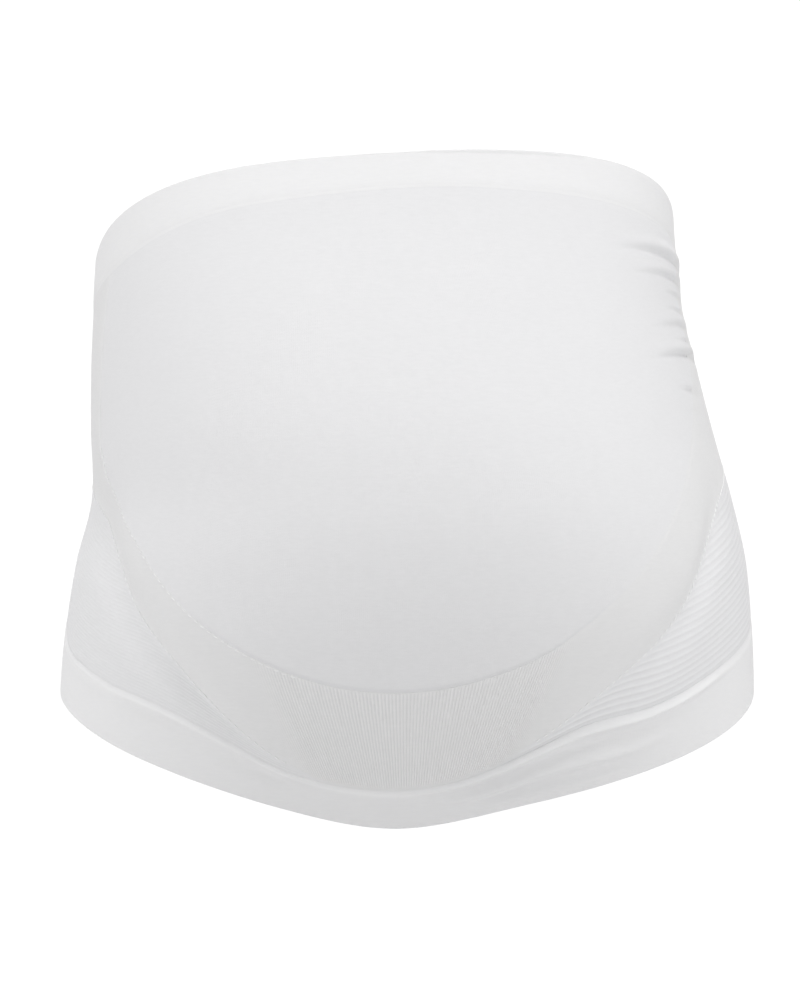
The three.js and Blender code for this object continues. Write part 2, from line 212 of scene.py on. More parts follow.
def knit_shell(name, angle, height, outer, inner, painted_shade, finish, is_ring=False):
    """Closed shell of cloth over a grid of columns, each running upward. outer and inner are how far
    its two faces lie from the middle of the cloth. The argument after inner is the shade painted on
    the outer face: how much darker than plain cloth it is painted in the valleys of its relief, and
    below 0, a painted highlight, on its crests."""
    plain_shade, sharp_edge = 0.3, 55
    middle = body_point(angle, height)
    outward = body_directions(angle, height)[2]
    faces = middle + outward * outer[..., None], middle + outward * inner[..., None]
    places = np.concatenate([faces[0], faces[1][:, ::-1]], axis=1)
    columns, points = places.shape[:2]
    here = np.arange(columns * points).reshape(columns, points)
    if not is_ring:
        here = here[:-1]
    beside = (here + points) % (columns * points)
    above, above_beside = np.roll(here, -1, 1), np.roll(beside, -1, 1)
    quads = [np.stack([here, beside, above_beside, above], axis=-1).reshape(-1, 4)]
    if not is_ring:
        for end, turn in ((0, 1), ((columns - 1) * points, -1)):
            low = end + np.arange(points // 2 - 1)
            back = end + points - 1 - np.arange(points // 2 - 1)
            quads.append(np.stack([low, low + 1, back - 1, back], axis=-1)[:, ::turn])
    quads = np.concatenate(quads)
    mesh = bpy.data.meshes.new(name)
    mesh.vertices.add(columns * points)
    mesh.vertices.foreach_set("co", (places / 1000).ravel())
    mesh.loops.add(quads.size)
    mesh.loops.foreach_set("vertex_index", quads.ravel())
    mesh.polygons.add(len(quads))
    mesh.polygons.foreach_set("loop_start", np.arange(0, quads.size, 4))
    mesh.update(calc_edges=True)
    mesh.validate()
    wales, rows = stitch_place(angle, height)
    stitches = np.stack([wales, rows], axis=-1) / 1000
    stitches = np.concatenate([stitches, stitches[:, ::-1]], axis=1).reshape(-1, 2)
    laid = mesh.uv_layers.new(name="stitches")
    corners = np.empty(len(mesh.loops), np.int32)
    mesh.loops.foreach_get("vertex_index", corners)
    laid.data.foreach_set("uv", stitches[corners].ravel())
    # Shade painted on the outer face, darker in the relief's valleys and lighter on its crests, over the
    # plain cloth's shade, which alone is on the inner face
    both = plain_shade + np.concatenate([painted_shade, 0 * painted_shade], axis=1)
    mesh.attributes.new("painted_shade", "FLOAT", "POINT").data.foreach_set("value", both.ravel())
    mesh.polygons.foreach_set("use_smooth", np.ones(len(mesh.polygons), bool))
    mesh.set_sharp_from_angle(angle=math.radians(sharp_edge))
    mesh.materials.append(finish)
    piece = bpy.data.objects.new(name, mesh)
    bpy.context.scene.collection.objects.link(piece)
    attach(piece, "root")
    return piece


def knit_group():
    """Node group of plain knit: upright wales of V-shaped stitches, in a UV map laid in metres. It gives
    the stitches' height, and a shade painted in their hollows.
    """
    stray_across, stray_up = 0.0011, 0.0009
    leg_place, leg_rise, bead_depth = 0.22, 1.6, 0.2
    group = bpy.data.node_groups.new("plain_knit", "ShaderNodeTree")
    for name, start in (("Wale Width", 0.001), ("Row Height", 0.0008)):
        socket = group.interface.new_socket(name=name, in_out="INPUT", socket_type="NodeSocketFloat")
        socket.default_value = start
    for name in ("Height", "Painted Shade"):
        group.interface.new_socket(name=name, in_out="OUTPUT", socket_type="NodeSocketFloat")
    nodes, links = group.nodes, group.links
    given, out = nodes.new("NodeGroupInput"), nodes.new("NodeGroupOutput")
    laid = nodes.new("ShaderNodeUVMap")
    laid.uv_map = "stitches"
    split = nodes.new("ShaderNodeSeparateXYZ")
    links.new(laid.outputs[0], split.inputs[0])

    def math_node(operation, *values):
        node = nodes.new("ShaderNodeMath")
        node.operation = operation
        for socket, value in zip(node.inputs, values):
            if isinstance(value, (int, float)):
                socket.default_value = value
            else:
                links.new(value, socket)
        return node.outputs[0]

    wander = nodes.new("ShaderNodeTexNoise")
    wander.inputs["Scale"].default_value = 170.0
    wander.inputs["Detail"].default_value = 2.0
    links.new(laid.outputs[0], wander.inputs["Vector"])
    across = math_node("MULTIPLY_ADD", wander.outputs["Fac"], stray_across, split.outputs["X"])
    wale = math_node("FRACT", math_node("DIVIDE", across, given.outputs["Wale Width"]))
    side = math_node("ABSOLUTE", math_node("SUBTRACT", wale, 0.5))
    beside_leg = math_node("SUBTRACT", side, leg_place)
    leg = math_node("COSINE", math_node("MULTIPLY", beside_leg, 4 * math.pi))
    upward = math_node("MULTIPLY_ADD", wander.outputs["Fac"], stray_up, split.outputs["Y"])
    row = math_node("DIVIDE", upward, given.outputs["Row Height"])
    slanted = math_node("ADD", row, math_node("MULTIPLY", side, leg_rise))
    bead = math_node("COSINE", math_node("MULTIPLY", slanted, 2 * math.pi))
    legs = math_node("MULTIPLY_ADD", leg, 0.5, 0.5)
    beads = math_node("MULTIPLY_ADD", bead, bead_depth, 1 - bead_depth)
    height = math_node("MULTIPLY", legs, beads)
    links.new(height, out.inputs["Height"])
    # Painted shade in the stitches' hollows, strongest where they are lowest
    links.new(math_node("SUBTRACT", 1.0, height), out.inputs["Painted Shade"])
    return group


plain_knit = knit_group()


def knit_finish(name, crest, hollow, wale_width, row_height, depth):
    """White knitted cloth: crest is its lightest colour, that of its lit crests, and the next colour is
    its painted shade in the furrows of its relief and in the stitches' hollows, towards which its
    random streaks also run; depth is how deep its stitches are."""
    painted_hollow_shade_share, streak_share, fibre_share = 0.16, 0.35, 0.25
    finish = bpy.data.materials.new(name)
    finish.use_nodes = True
    nodes, links = finish.node_tree.nodes, finish.node_tree.links
    cloth = nodes["Principled BSDF"]
    cloth.inputs["Roughness"].default_value = 0.92
    cloth.inputs["Sheen Weight"].default_value = 0.12
    cloth.inputs["Sheen Roughness"].default_value = 0.45
    cloth.inputs["Specular IOR Level"].default_value = 0.25
    stitches = nodes.new("ShaderNodeGroup")
    stitches.node_tree = plain_knit
    stitches.inputs["Wale Width"].default_value = wale_width
    stitches.inputs["Row Height"].default_value = row_height
    painted_shade = nodes.new("ShaderNodeAttribute")
    painted_shade.attribute_name = "painted_shade"
    place = nodes.new("ShaderNodeTexCoord")
    level = nodes.new("ShaderNodeMapping")
    level.inputs["Scale"].default_value = (0.22, 0.22, 1.0)
    streaks = nodes.new("ShaderNodeTexNoise")
    streaks.inputs["Scale"].default_value = 900.0
    streaks.inputs["Detail"].default_value = 2.0
    links.new(place.outputs["Object"], level.inputs["Vector"])
    links.new(level.outputs["Vector"], streaks.inputs["Vector"])
    fibres = nodes.new("ShaderNodeTexNoise")
    fibres.inputs["Scale"].default_value = 2600.0
    fibres.inputs["Detail"].default_value = 2.0
    links.new(place.outputs["Object"], fibres.inputs["Vector"])
    # Painted shade of the cloth: the shade painted in the stitches' hollows, added to the shade painted
    # on the mesh in its furrows and on its crests, then short streaks of random tone along the rows
    shade = nodes.new("ShaderNodeMath")
    shade.operation = "MULTIPLY_ADD"
    shade.inputs[1].default_value = painted_hollow_shade_share
    links.new(stitches.outputs["Painted Shade"], shade.inputs[0])
    links.new(painted_shade.outputs["Fac"], shade.inputs[2])
    shade_and_mottling = nodes.new("ShaderNodeMath")
    shade_and_mottling.operation = "MULTIPLY_ADD"
    shade_and_mottling.inputs[1].default_value = streak_share
    links.new(streaks.outputs["Fac"], shade_and_mottling.inputs[0])
    links.new(shade.outputs[0], shade_and_mottling.inputs[2])
    colour = nodes.new("ShaderNodeMix")
    colour.data_type = "RGBA"
    colour.inputs["A"].default_value = (*crest, 1)
    colour.inputs["B"].default_value = (*hollow, 1)
    links.new(shade_and_mottling.outputs[0], colour.inputs["Factor"])
    links.new(colour.outputs["Result"], cloth.inputs["Base Color"])
    relief = nodes.new("ShaderNodeMath")
    relief.operation = "MULTIPLY_ADD"
    relief.inputs[1].default_value = fibre_share
    links.new(fibres.outputs["Fac"], relief.inputs[0])
    links.new(stitches.outputs["Height"], relief.inputs[2])
    surface = nodes.new("ShaderNodeBump")
    surface.inputs["Strength"].default_value = 0.6
    surface.inputs["Distance"].default_value = depth
    links.new(relief.outputs[0], surface.inputs["Height"])
    links.new(surface.outputs["Normal"], cloth.inputs["Normal"])
    return finish


welt_finish = knit_finish("white_welt", (0.93, 0.93, 0.935), (0.82, 0.821, 0.828),
                          0.0009, 0.0007, 0.00014)


def rounded(distance, half):
    """How thick a turned edge still is at a distance from it, as a share of its full thickness."""
    near = np.clip(distance / half, 0, 1)
    return np.sqrt(np.clip(1 - (1 - near) ** 2, 0, 1))


top_angles = np.arange(-90.0, 270.0, 1.0)
top_rows = np.concatenate([np.linspace(0, 0.2, 13)[:-1], np.linspace(0.2, 0.94, 20)[:-1],
                           1 - 0.06 * np.cos(np.linspace(0, math.pi / 2, 9))])
angle = top_angles[:, None] + 0 * top_rows
height = top_hem_line(angle) + (top_rim(angle) - top_hem_line(angle)) * top_rows
above_line = top_rows * top_hem_height + 0 * angle
thick = rounded((1 - top_rows) * top_hem_height, hem_wall / 2) + 0 * angle
above_second = above_line - second_line_rise
line = -hem_line_depth * bump(above_line, 0.7) - hem_line_depth * bump(above_second, 0.5)
full = thin_top_wall + (hem_wall / 2 - thin_top_wall) * smooth(above_line, 0, 6)
outer = thick * (full + unevenness(angle, height)) + line
# The welt's outer face is painted darker along the grooves of its hem line and second line, as painted
# shade
top_piece = knit_shell("top_welt", angle, height, outer, -thick * hem_wall / 2,
                       0.12 * bump(above_line, 0.8) + 0.12 * bump(above_second, 0.5), welt_finish,
                       is_ring=True)
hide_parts("top_hem")

# ---- Belly panel ----
# One shaped panel of fine jersey, drawn smooth over the belly. It is gathered into the seam at the
# wearer's left, where ten creases with soft lips, large and small, run out of the seam and fade.
bottom_hem_height = 39.0
jersey_wall = 1.2
gather_depth = 3.2
rim_puff, puff_spread = 1.5, 20
hollow_depth, hollow_below = 6.5, 2
hollow_spread, hollow_spread_above_right = 17, 22
hollow_share_at_left = 0.85
right_seam = (-61.5, -60.5)
left_seam = (68.0, 73.0)
stitched_to, plain_from = -16, 0
low_rim_pulls = ((22, 22, 0.1),)
low_line_pulls = (-70, 9, -0.12), (-40, 11, 0.31), (-5, 30, -0.18), (28, 11, 0.28), (45, 21, 0.17)

# angle, share: the belly panel's lower seam, from the bottom hem line, 0, to the top one, 1
belly_seam = (
    (-61.5, 0.575),
    (-59, 0.49),
    (-55, 0.448),
    (-46, 0.361),
    (-36, 0.268),
    (-26, 0.218),
    (-14, 0.183),
    (-1, 0.17),
    (12, 0.176),
    (22, 0.196),
    (32, 0.27),
    (42, 0.395),
    (52, 0.502),
    (60, 0.595),
    (68, 0.71),
)

# from angle, from share, to angle, to share, depth, width: the creases, from their soft end to the seam
gather_folds = (
    (41, 0.9, 72, 0.94, 1.0, 0.8),
    (45, 0.852, 72, 0.893, 0.75, 0.7),
    (47, 0.738, 72, 0.775, 0.6, 0.75),
    (42, 0.675, 70, 0.698, 0.95, 0.8),
    (50, 0.615, 64, 0.605, 0.45, 0.7),
    (58, 0.83, 72, 0.852, 0.35, 0.45),
    (56, 0.79, 72, 0.81, 0.3, 0.5),
    (55, 0.715, 71, 0.735, 0.3, 0.45),
    (52, 0.57, 63, 0.558, 0.25, 0.55),
    (53, 0.525, 62, 0.512, 0.15, 0.5),
)


def low_rim(angle):
    pulled = bottom_hem_height * drawn(low_rim_pulls, angle)
    return pulled + rim_height(angle, -low_front_drop, -low_side_drop, -low_back_drop, 0, 0)


def bottom_hem_line(angle):
    rim = low_rim(angle)
    wider = 1 + drawn(low_line_pulls, angle)
    return rim + rise_over(angle, rim, bottom_hem_height) * wider


def panel_height(angle, share):
    """Height at a share of the way from the bottom hem line up to the top one."""
    low = bottom_hem_line(angle)
    return low + (top_hem_line(angle) - low) * share


def belly_seam_height(angle):
    return panel_height(angle, through(belly_seam, 1, angle))


hip_tip, back_border = 20.0, 86.0

# angle, share: the dashed line over each hip, the same on both sides
hip_line = (
    (20, 0.012),
    (26, 0.03),
    (32, 0.062),
    (38, 0.108),
    (45, 0.183),
    (52, 0.29),
    (59, 0.353),
    (67, 0.388),
    (76, 0.413),
    (86, 0.435),
)


def hip_line_height(angle):
    """The lower border of the support panel: over each hip, and down to the bottom hem between them."""
    turned = np.abs(angle)
    share = through(hip_line, 1, turned) * smooth(turned, hip_tip - 3, hip_tip)
    return panel_height(angle, share)


def worn_relief(angle, height):
    """The soft hollow that the cloth is drawn into between the belly and each hip."""
    turned = np.abs(angle)
    at_right = angle < 0
    fading, faded = np.where(at_right, 60, 42), np.where(at_right, 84, 68)
    swell = smooth(turned, 22, 38) * (1 - smooth(turned, fading, faded))
    swell = swell * np.where(at_right, 1, hollow_share_at_left)
    above = height - hip_line_height(angle) + hollow_below
    spread = np.where(at_right & (above > 0), hollow_spread_above_right, hollow_spread)
    return -hollow_depth * swell * bump(above, spread)


def gather_relief(angle, height):
    """How far the gathered and hollow cloth of the panels stands out."""
    lip_height, lip_rise, lip_width, crease_width = 0.6, 1.5, 1.2, 0.65
    deepening = 0.62
    low, high = bottom_hem_line(angle), top_hem_line(angle)
    relief = 0 * angle * height
    for from_angle, from_share, to_angle, to_share, depth, width in gather_folds:
        along = (angle - from_angle) / (to_angle - from_angle)
        above = height - low - (high - low) * (from_share + (to_share - from_share) * along)
        spread = width * gather_depth
        lip = lip_height * bump(above - lip_rise * spread, lip_width * spread)
        crease = bump(above, crease_width * spread)
        swell = smooth(along, 0, 0.75) * (1 - smooth(along, 1.0, 1.5))
        relief += deepening * gather_depth * depth * swell * (lip - crease)
    below_rim = high - height - top_hem_height / 3
    puff = bump(below_rim, top_hem_height / 2) * bump(angle - left_seam[1], puff_spread)
    return relief + rim_puff * puff + worn_relief(angle, height)


jersey_finish = knit_finish("white_jersey", (0.897, 0.898, 0.908), (0.783, 0.784, 0.795),
                            0.00105, 0.0008, 0.00018)


def crowded(count):
    """Shares from 0 to 1 that come closer together towards both ends."""
    place = np.linspace(-1, 1, count)
    return (place + np.sin(place * math.pi / 2)) / 4 + 0.5


across = crowded(240)[:, None]
belly_rows = fine_at_ends(0.03, 7, 150)[None, :]
low_angle = right_seam[0] + (left_seam[0] - right_seam[0]) * across
high_angle = right_seam[1] + (left_seam[1] - right_seam[1]) * across
low_height = belly_seam_height(low_angle)
high_height = top_hem_line(high_angle)
angle = low_angle + (high_angle - low_angle) * belly_rows
height = low_height + (high_height - low_height) * belly_rows
long = stitch_place(high_angle, high_height)[1] - stitch_place(low_angle, low_height)[1]
above_seam, under_hem = long * belly_rows, long * (1 - belly_rows)
folded = gather_relief(angle, height)
under_belly = smooth(low_angle, -40, -18) * (1 - smooth(low_angle, 14, 34))
stitched = 1 - smooth(low_angle, stitched_to, plain_from)
groove = (0.12 * stitched - 0.2 * under_belly) * bump(above_seam, 0.9) - 0.06 * bump(under_hem, 0.8)
# A painted shadow runs along the seam under the belly, and a faint painted shade lies in the groove
# under the top hem
belly_piece = knit_shell("belly_jersey", angle, height,
                         jersey_wall / 2 + folded + groove + unevenness(angle, height),
                         -jersey_wall / 2 + folded,
                         0.55 * under_belly * bump(above_seam - 0.8, 1.2) + 0.1 * bump(under_hem, 0.8),
                         jersey_finish)
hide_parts("belly_panel")

# ---- Support panel ----
# The sling under the belly, knitted in vertical ribs that fan out from the middle and fade into plain
# jersey towards the hips, where the panel turns up beside the belly panel and reaches the top hem.
ribbed_wall = 1.6
rib_pitch, rib_height = 1.85, 0.12
ribs_from, ribs_to, rib_fade = -88.0, 104.0, 30
horn_columns = 45

# upper angle, foot angle: where the ribs meet the belly seam, and where they stand on the lower border
rib_run = (
    (-61.5, -86),
    (-54.5, -63),
    (-45, -44),
    (-31, -27.5),
    (-1, -1),
    (31, 27.5),
    (45, 43),
    (57, 62),
    (68, 86),
)

rib_finish = knit_finish("white_rib_knit", (0.887, 0.887, 0.89), (0.768, 0.768, 0.772),
                         0.0009, 0.0008, 0.00014)

seam_angles = np.linspace(right_seam[0], left_seam[0], 2001)
seam_places = body_point(seam_angles, belly_seam_height(seam_angles))
seam_length = np.concatenate([[0], np.cumsum(np.linalg.norm(np.diff(seam_places, axis=0), axis=-1))])
seam_middle = np.interp(-1.0, seam_angles, seam_length)
rib_steps = np.arange(ribs_from, ribs_to, rib_pitch / 6)
beside_ribs = (np.linspace(-seam_middle, ribs_from, 70)[:-1],
               np.linspace(ribs_to, seam_length[-1] - seam_middle, 70))
along_seam = np.concatenate([beside_ribs[0], rib_steps, beside_ribs[1]])
upper_angle = np.interp(along_seam + seam_middle, seam_length, seam_angles)
foot_angle = through(rib_run, 1, upper_angle)
support_rows = fine_at_ends(0.06, 6, 24)
foot_height = hip_line_height(foot_angle)
seam_height = belly_seam_height(upper_angle)


def horn(side, seam):
    """Places from the back border to a side seam, from the sling upward, as angles and heights."""
    share = np.linspace(0, 1, horn_columns + 1)[1:, None]
    border = side * back_border
    border_foot = hip_line_height(np.array(border))
    seam_foot = belly_seam_height(np.array(seam[0]))
    inner_angle = seam[0] + (seam[1] - seam[0]) * share
    angle = border + (inner_angle - border) * support_rows
    start = border_foot + (seam_foot - border_foot) * support_rows
    return angle, start + (top_hem_line(angle) - start) * share


def with_horns(right_value, along_sling, left_value):
    """A column of values for the whole panel, with one value for each horn."""
    return np.concatenate([np.full(horn_columns, right_value), along_sling,
                           np.full(horn_columns, left_value)])[:, None]


right_horn, left_horn = horn(-1, right_seam), horn(1, left_seam)
angle = np.concatenate([right_horn[0][::-1],
                        foot_angle[:, None] + (upper_angle - foot_angle)[:, None] * support_rows,
                        left_horn[0]])
height = np.concatenate([right_horn[1][::-1],
                         foot_height[:, None] + (seam_height - foot_height)[:, None] * support_rows,
                         left_horn[1]])
far_away, plain_width = 300.0, 20.0
wale = with_horns(-far_away, along_seam, far_away)
sling_width = stitch_place(upper_angle, seam_height)[1] - stitch_place(foot_angle, foot_height)[1]
across_panel = support_rows * with_horns(plain_width, sling_width, plain_width)
under_seam = across_panel[:, -1:] - across_panel
strength = (smooth(wale, ribs_from + 4, ribs_from + rib_fade)
            * (1 - smooth(wale, ribs_to - rib_fade, ribs_to - 4)))
strength = strength * smooth(across_panel, 0.5, 5) * smooth(under_seam, 0.3, 1.2)
wave = np.cos(2 * math.pi * wale / rib_pitch)
folded = gather_relief(angle, height)
seam_angle = with_horns(right_seam[0], upper_angle, left_seam[0])
stitched = 1 - smooth(seam_angle, stitched_to, plain_from)
lip = 0.12 * stitched * bump(under_seam, 1.1)
thinned = (ribbed_wall - jersey_wall) / 2 * bump(under_seam, 2)
ribs = rib_height * wave * strength
# The ribs are painted darker in their valleys and lighter on their crests, and the raised lip along the
# stitched seam is painted lighter: painted shade and painted highlight
support_piece = knit_shell("support_rib", angle, height,
                           ribbed_wall / 2 + folded + ribs + lip - thinned + unevenness(angle, height),
                           -ribbed_wall / 2 + folded,
                           -0.4 * strength * wave - 0.2 * stitched * bump(under_seam, 1.2), rib_finish)
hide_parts("support_panel")

# ---- Hip panels ----
# A wedge of rib knit over each hip, whose ribs lie level with the bottom hem and run out under the
# sling. The ribs are coarser at the wearer's left than at the right.
hip_columns = np.concatenate([np.linspace(hip_tip - 3, 30, 40)[:-1], np.linspace(30, back_border, 90)])


def hip_panel(name, side, pitch, ridge, row_step):
    """Wedge of ribs that lie pitch apart and stand ridge high. side is -1 at right and 1 at left."""
    edge_depth, extra_at_tip, painted_shade_by_height = 0.2, 0.9, 2.2
    turned = side * hip_columns[::side]
    low, high = bottom_hem_line(turned), hip_line_height(turned)
    reach = stitch_place(turned, high)[1] - stitch_place(turned, low)[1]
    rows = np.arange(0, reach.max() + row_step, row_step)
    laid = np.minimum(rows[None, :], reach[:, None])
    share = laid / np.maximum(reach[:, None], 1e-6)
    angle = turned[:, None] + 0 * share
    height = low[:, None] + (high - low)[:, None] * share
    below_line = reach[:, None] - laid
    strength = smooth(below_line, 0.3, 6) * smooth(laid, 0.2, 1.5)
    wave = 0.7 * np.cos(2 * math.pi * laid / pitch) + 0.3 * np.cos(4 * math.pi * laid / pitch + 0.9)
    strength = strength * (1 + extra_at_tip - extra_at_tip * smooth(np.abs(angle), 26, 52))
    edge = -edge_depth * bump(laid, 0.9)
    thin = smooth(reach, 0, 4)[:, None]
    outer = ribbed_wall / 2 + thin * (ridge * wave * strength + edge) + unevenness(angle, height)
    # The ribs are painted darker in their valleys and lighter on their crests, and darker in the groove
    # along the bottom hem: painted shade and painted highlight
    panel = knit_shell(name, angle, height, outer + gather_relief(angle, height),
                       -ribbed_wall / 2 + gather_relief(angle, height),
                       -painted_shade_by_height * ridge * strength * wave - edge, hip_finish)
    return panel


hip_finish = knit_finish("white_hip_rib", (0.888, 0.889, 0.899), (0.771, 0.772, 0.783),
                         0.001, 0.0008, 0.00014)
right_hip_piece = hip_panel("hip_rib_right", -1, 1.9, 0.07, 0.38)
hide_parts("hip_panel_right")
left_hip_piece = hip_panel("hip_rib_left", 1, 3.8, 0.15, 0.63)
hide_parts("hip_panel_left")

# ---- Back panel ----
# A plain panel of the same jersey, drawn smooth over the small of the back. The photograph shows
# nothing of it, so it has no fold or seam of its own.
back_angles = np.linspace(back_border, 360 - back_border, 200)[:, None]
back_rows = fine_at_ends(0.03, 7, 90)[None, :]
angle = back_angles + 0 * back_rows
low, high = bottom_hem_line(angle), top_hem_line(angle)
height = low + (high - low) * back_rows
long = stitch_place(angle, high)[1] - stitch_place(angle, low)[1]
above_hem, under_hem = long * back_rows, long * (1 - back_rows)
groove = bump(above_hem, 0.9) + bump(under_hem, 0.8)
# Painted shade in the grooves along both hems
back_piece = knit_shell("back_jersey", angle, height,
                        jersey_wall / 2 - 0.25 * groove + unevenness(angle, height),
                        -jersey_wall / 2 + 0 * angle, 0.2 * groove, jersey_finish)
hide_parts("back_panel")

# ---- Bottom hem ----
# A double welt like the top one, 39 mm high. It is narrower than the lower belly, so it is drawn into
# long folds: a ridge close under its upper line all along the front, and furrows to both sides. Over
# each hip it flares, so its rim stands out and sits a little higher.
hem_fold_height = 2.6
hem_flare = 4.0
flared_rim_rise, rim_rise_at_left = 4.4, 0.7
thin_hem_wall = 0.8

# from angle, from across, to angle, to across, width, height: ridges, and furrows below 0. across is
# 0 at the rim and 1 at the hem line.
hem_folds = (
    (-88, 0.94, -4, 0.93, 0.05, 0.3),
    (-54, 0.7, -12, 0.64, 0.17, -0.6),
    (-6, 0.935, 66, 0.915, 0.06, 0.95),
    (1, 0.75, 50, 0.71, 0.1, -1.0),
    (5, 0.545, 50, 0.5, 0.085, 1.0),
    (11, 0.375, 46, 0.34, 0.09, -0.8),
    (12, 0.21, 42, 0.19, 0.075, 0.5),
)


def flared(angle, at_left):
    """1 over each hip, where the bottom hem flares, and at_left of that over the left one."""
    at_right = smooth(-angle, 28, 46) * (1 - smooth(-angle, 64, 86))
    return at_right + at_left * smooth(angle, 22, 42) * (1 - smooth(angle, 62, 86))


def hem_relief(angle, height):
    """How far the bottom hem stands out."""
    across = (height - low_rim(angle)) / (bottom_hem_line(angle) - low_rim(angle))
    relief = 0 * across
    for from_angle, from_across, to_angle, to_across, width, high in hem_folds:
        along = (angle - from_angle) / (to_angle - from_angle)
        line = from_across + (to_across - from_across) * along
        swell = smooth(along, 0, 0.3) * (1 - smooth(along, 0.7, 1.0))
        relief += hem_fold_height * high * swell * bump(across - line, width)
    flare = flared(angle, 1) * np.clip(1 - across, 0, 1) ** 1.4
    return relief + hem_flare * flare + worn_relief(angle, height)


bottom_angles = np.concatenate([np.arange(-90.0, 90.0, 0.75), np.arange(90.0, 270.0, 1.5)])
bottom_rows = np.concatenate([0.04 * (1 - np.cos(np.linspace(0, math.pi / 2, 9)))[:-1],
                              np.linspace(0.04, 0.9, 56)[:-1], np.linspace(0.9, 1, 20)])
angle = bottom_angles[:, None] + 0 * bottom_rows
low = low_rim(angle) + flared_rim_rise * flared(angle, rim_rise_at_left)
high = bottom_hem_line(angle)
height = low + (high - low) * bottom_rows
long = stitch_place(angle, high)[1] - stitch_place(angle, low)[1]
above_rim, under_line = long * bottom_rows, long * (1 - bottom_rows)
folded = hem_relief(angle, height)
thick = rounded(above_rim, hem_wall / 2)
line = -0.25 * bump(under_line, 0.8)
full = thin_hem_wall + (hem_wall / 2 - thin_hem_wall) * smooth(under_line, 0.5, 5)
# Painted shade along the groove under the hem line, and a painted highlight in a band a little below it
bottom_piece = knit_shell("bottom_welt", angle, height,
                          thick * (full + unevenness(angle, height)) + folded + line,
                          -thick * hem_wall / 2 + folded,
                          0.35 * bump(under_line, 0.8) - 0.35 * bump(under_line - 3.6, 1.6),
                          welt_finish, is_ring=True)
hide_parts("bottom_hem")

# ---- Transfer stitches ----
# Where one knit changes into the next, some stitches are moved one wale over. They stand up as short
# bright dashes in steps along both hip lines, and along the belly seam at the wearer's right.
dash_length, dash_width, dash_pitch = 3.0, 0.7, 4.4
dash_flatness, dash_taper = 1.3, 0.98
seam_slant, hip_slant = 9, 10
below_seam, above_jersey, above_rib = 0.7, 0.32, 0.1


def dashes(name, places, outward, slant, finish):
    """A row of short raised stitches, each turned by slant degrees from the line that they follow."""
    lengths = np.concatenate([[0], np.cumsum(np.linalg.norm(np.diff(places, axis=0), axis=-1))])
    stations = np.arange(dash_pitch / 2, lengths[-1], dash_pitch)

    def at_stations(values, onward=0):
        return np.stack([np.interp(stations + onward, lengths, row) for row in values.T], axis=-1)

    centre, normal = at_stations(places), at_stations(outward)
    tangent = at_stations(places, 1) - centre
    tangent -= normal * (tangent * normal).sum(-1, keepdims=True)
    tangent /= np.linalg.norm(tangent, axis=-1, keepdims=True)
    sideways = np.cross(normal, tangent)
    turn = math.radians(slant)
    along = tangent * math.cos(turn) + sideways * math.sin(turn)
    side = sideways * math.cos(turn) - tangent * math.sin(turn)
    turns = np.linspace(0, 2 * math.pi, 9)[:-1]
    steps = np.linspace(-1, 1, 7)
    girth = np.sqrt(1 - steps ** 2 * dash_taper)[:, None]
    length_part = (steps * dash_length / 2)[None, :, None, None]
    width_part = (girth * np.cos(turns) * dash_width / 2)[None, :, :, None]
    height_part = (girth * np.sin(turns) * dash_width / 2 / dash_flatness)[None, :, :, None]
    ring = (centre[:, None, None] + along[:, None, None] * length_part
            + side[:, None, None] * width_part + normal[:, None, None] * height_part)
    count, rings, round_it = ring.shape[:3]
    index = np.arange(count * rings * round_it).reshape(count, rings, round_it)
    here, beyond = index[:, :-1], index[:, 1:]
    sides = np.stack([here, np.roll(here, -1, 2), np.roll(beyond, -1, 2), beyond], axis=-1)
    ends = [list(loop) for loop in index[:, 0, ::-1]] + [list(loop) for loop in index[:, -1]]
    mesh = bpy.data.meshes.new(name)
    mesh.from_pydata((ring.reshape(-1, 3) / 1000).tolist(), [], sides.reshape(-1, 4).tolist() + ends)
    mesh.polygons.foreach_set("use_smooth", np.ones(len(mesh.polygons), bool))
    mesh.materials.append(finish)
    piece = bpy.data.objects.new(name, mesh)
    bpy.context.scene.collection.objects.link(piece)
    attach(piece, "root")
    return piece


dash_finish = bpy.data.materials.new("white_transfer_stitch")
dash_finish.use_nodes = True
yarn = dash_finish.node_tree.nodes["Principled BSDF"]
yarn.inputs["Roughness"].default_value = 0.8
yarn.inputs["Sheen Weight"].default_value = 0.2
twist = dash_finish.node_tree.nodes.new("ShaderNodeTexNoise")
twist.inputs["Scale"].default_value = 900.0
twist_colour = dash_finish.node_tree.nodes.new("ShaderNodeMix")
twist_colour.data_type = "RGBA"
twist_colour.inputs["A"].default_value = (0.88, 0.88, 0.885, 1)
twist_colour.inputs["B"].default_value = (0.92, 0.92, 0.925, 1)
dash_finish.node_tree.links.new(twist.outputs["Fac"], twist_colour.inputs["Factor"])
dash_finish.node_tree.links.new(twist_colour.outputs["Result"], yarn.inputs["Base Color"])

at = np.linspace(right_seam[0] + 0.3, stitched_to, 800)
at_height = belly_seam_height(at) - below_seam
out = body_directions(at, at_height)[2]
lift = (jersey_wall / 2 + above_jersey + gather_relief(at, at_height))[:, None]
seam_dashes = dashes("seam_dashes", body_point(at, at_height) + out * lift, out, seam_slant, dash_finish)
for side, name in ((-1, "hip_dashes_right"), (1, "hip_dashes_left")):
    at = side * np.linspace(hip_tip + 2, back_border - 0.5, 800)[::side]
    at_height = hip_line_height(at)
    out = body_directions(at, at_height)[2]
    lift = (ribbed_wall / 2 + above_rib + gather_relief(at, at_height))[:, None]
    hip_dashes = dashes(name, body_point(at, at_height) + out * lift, out, hip_slant * side, dash_finish)

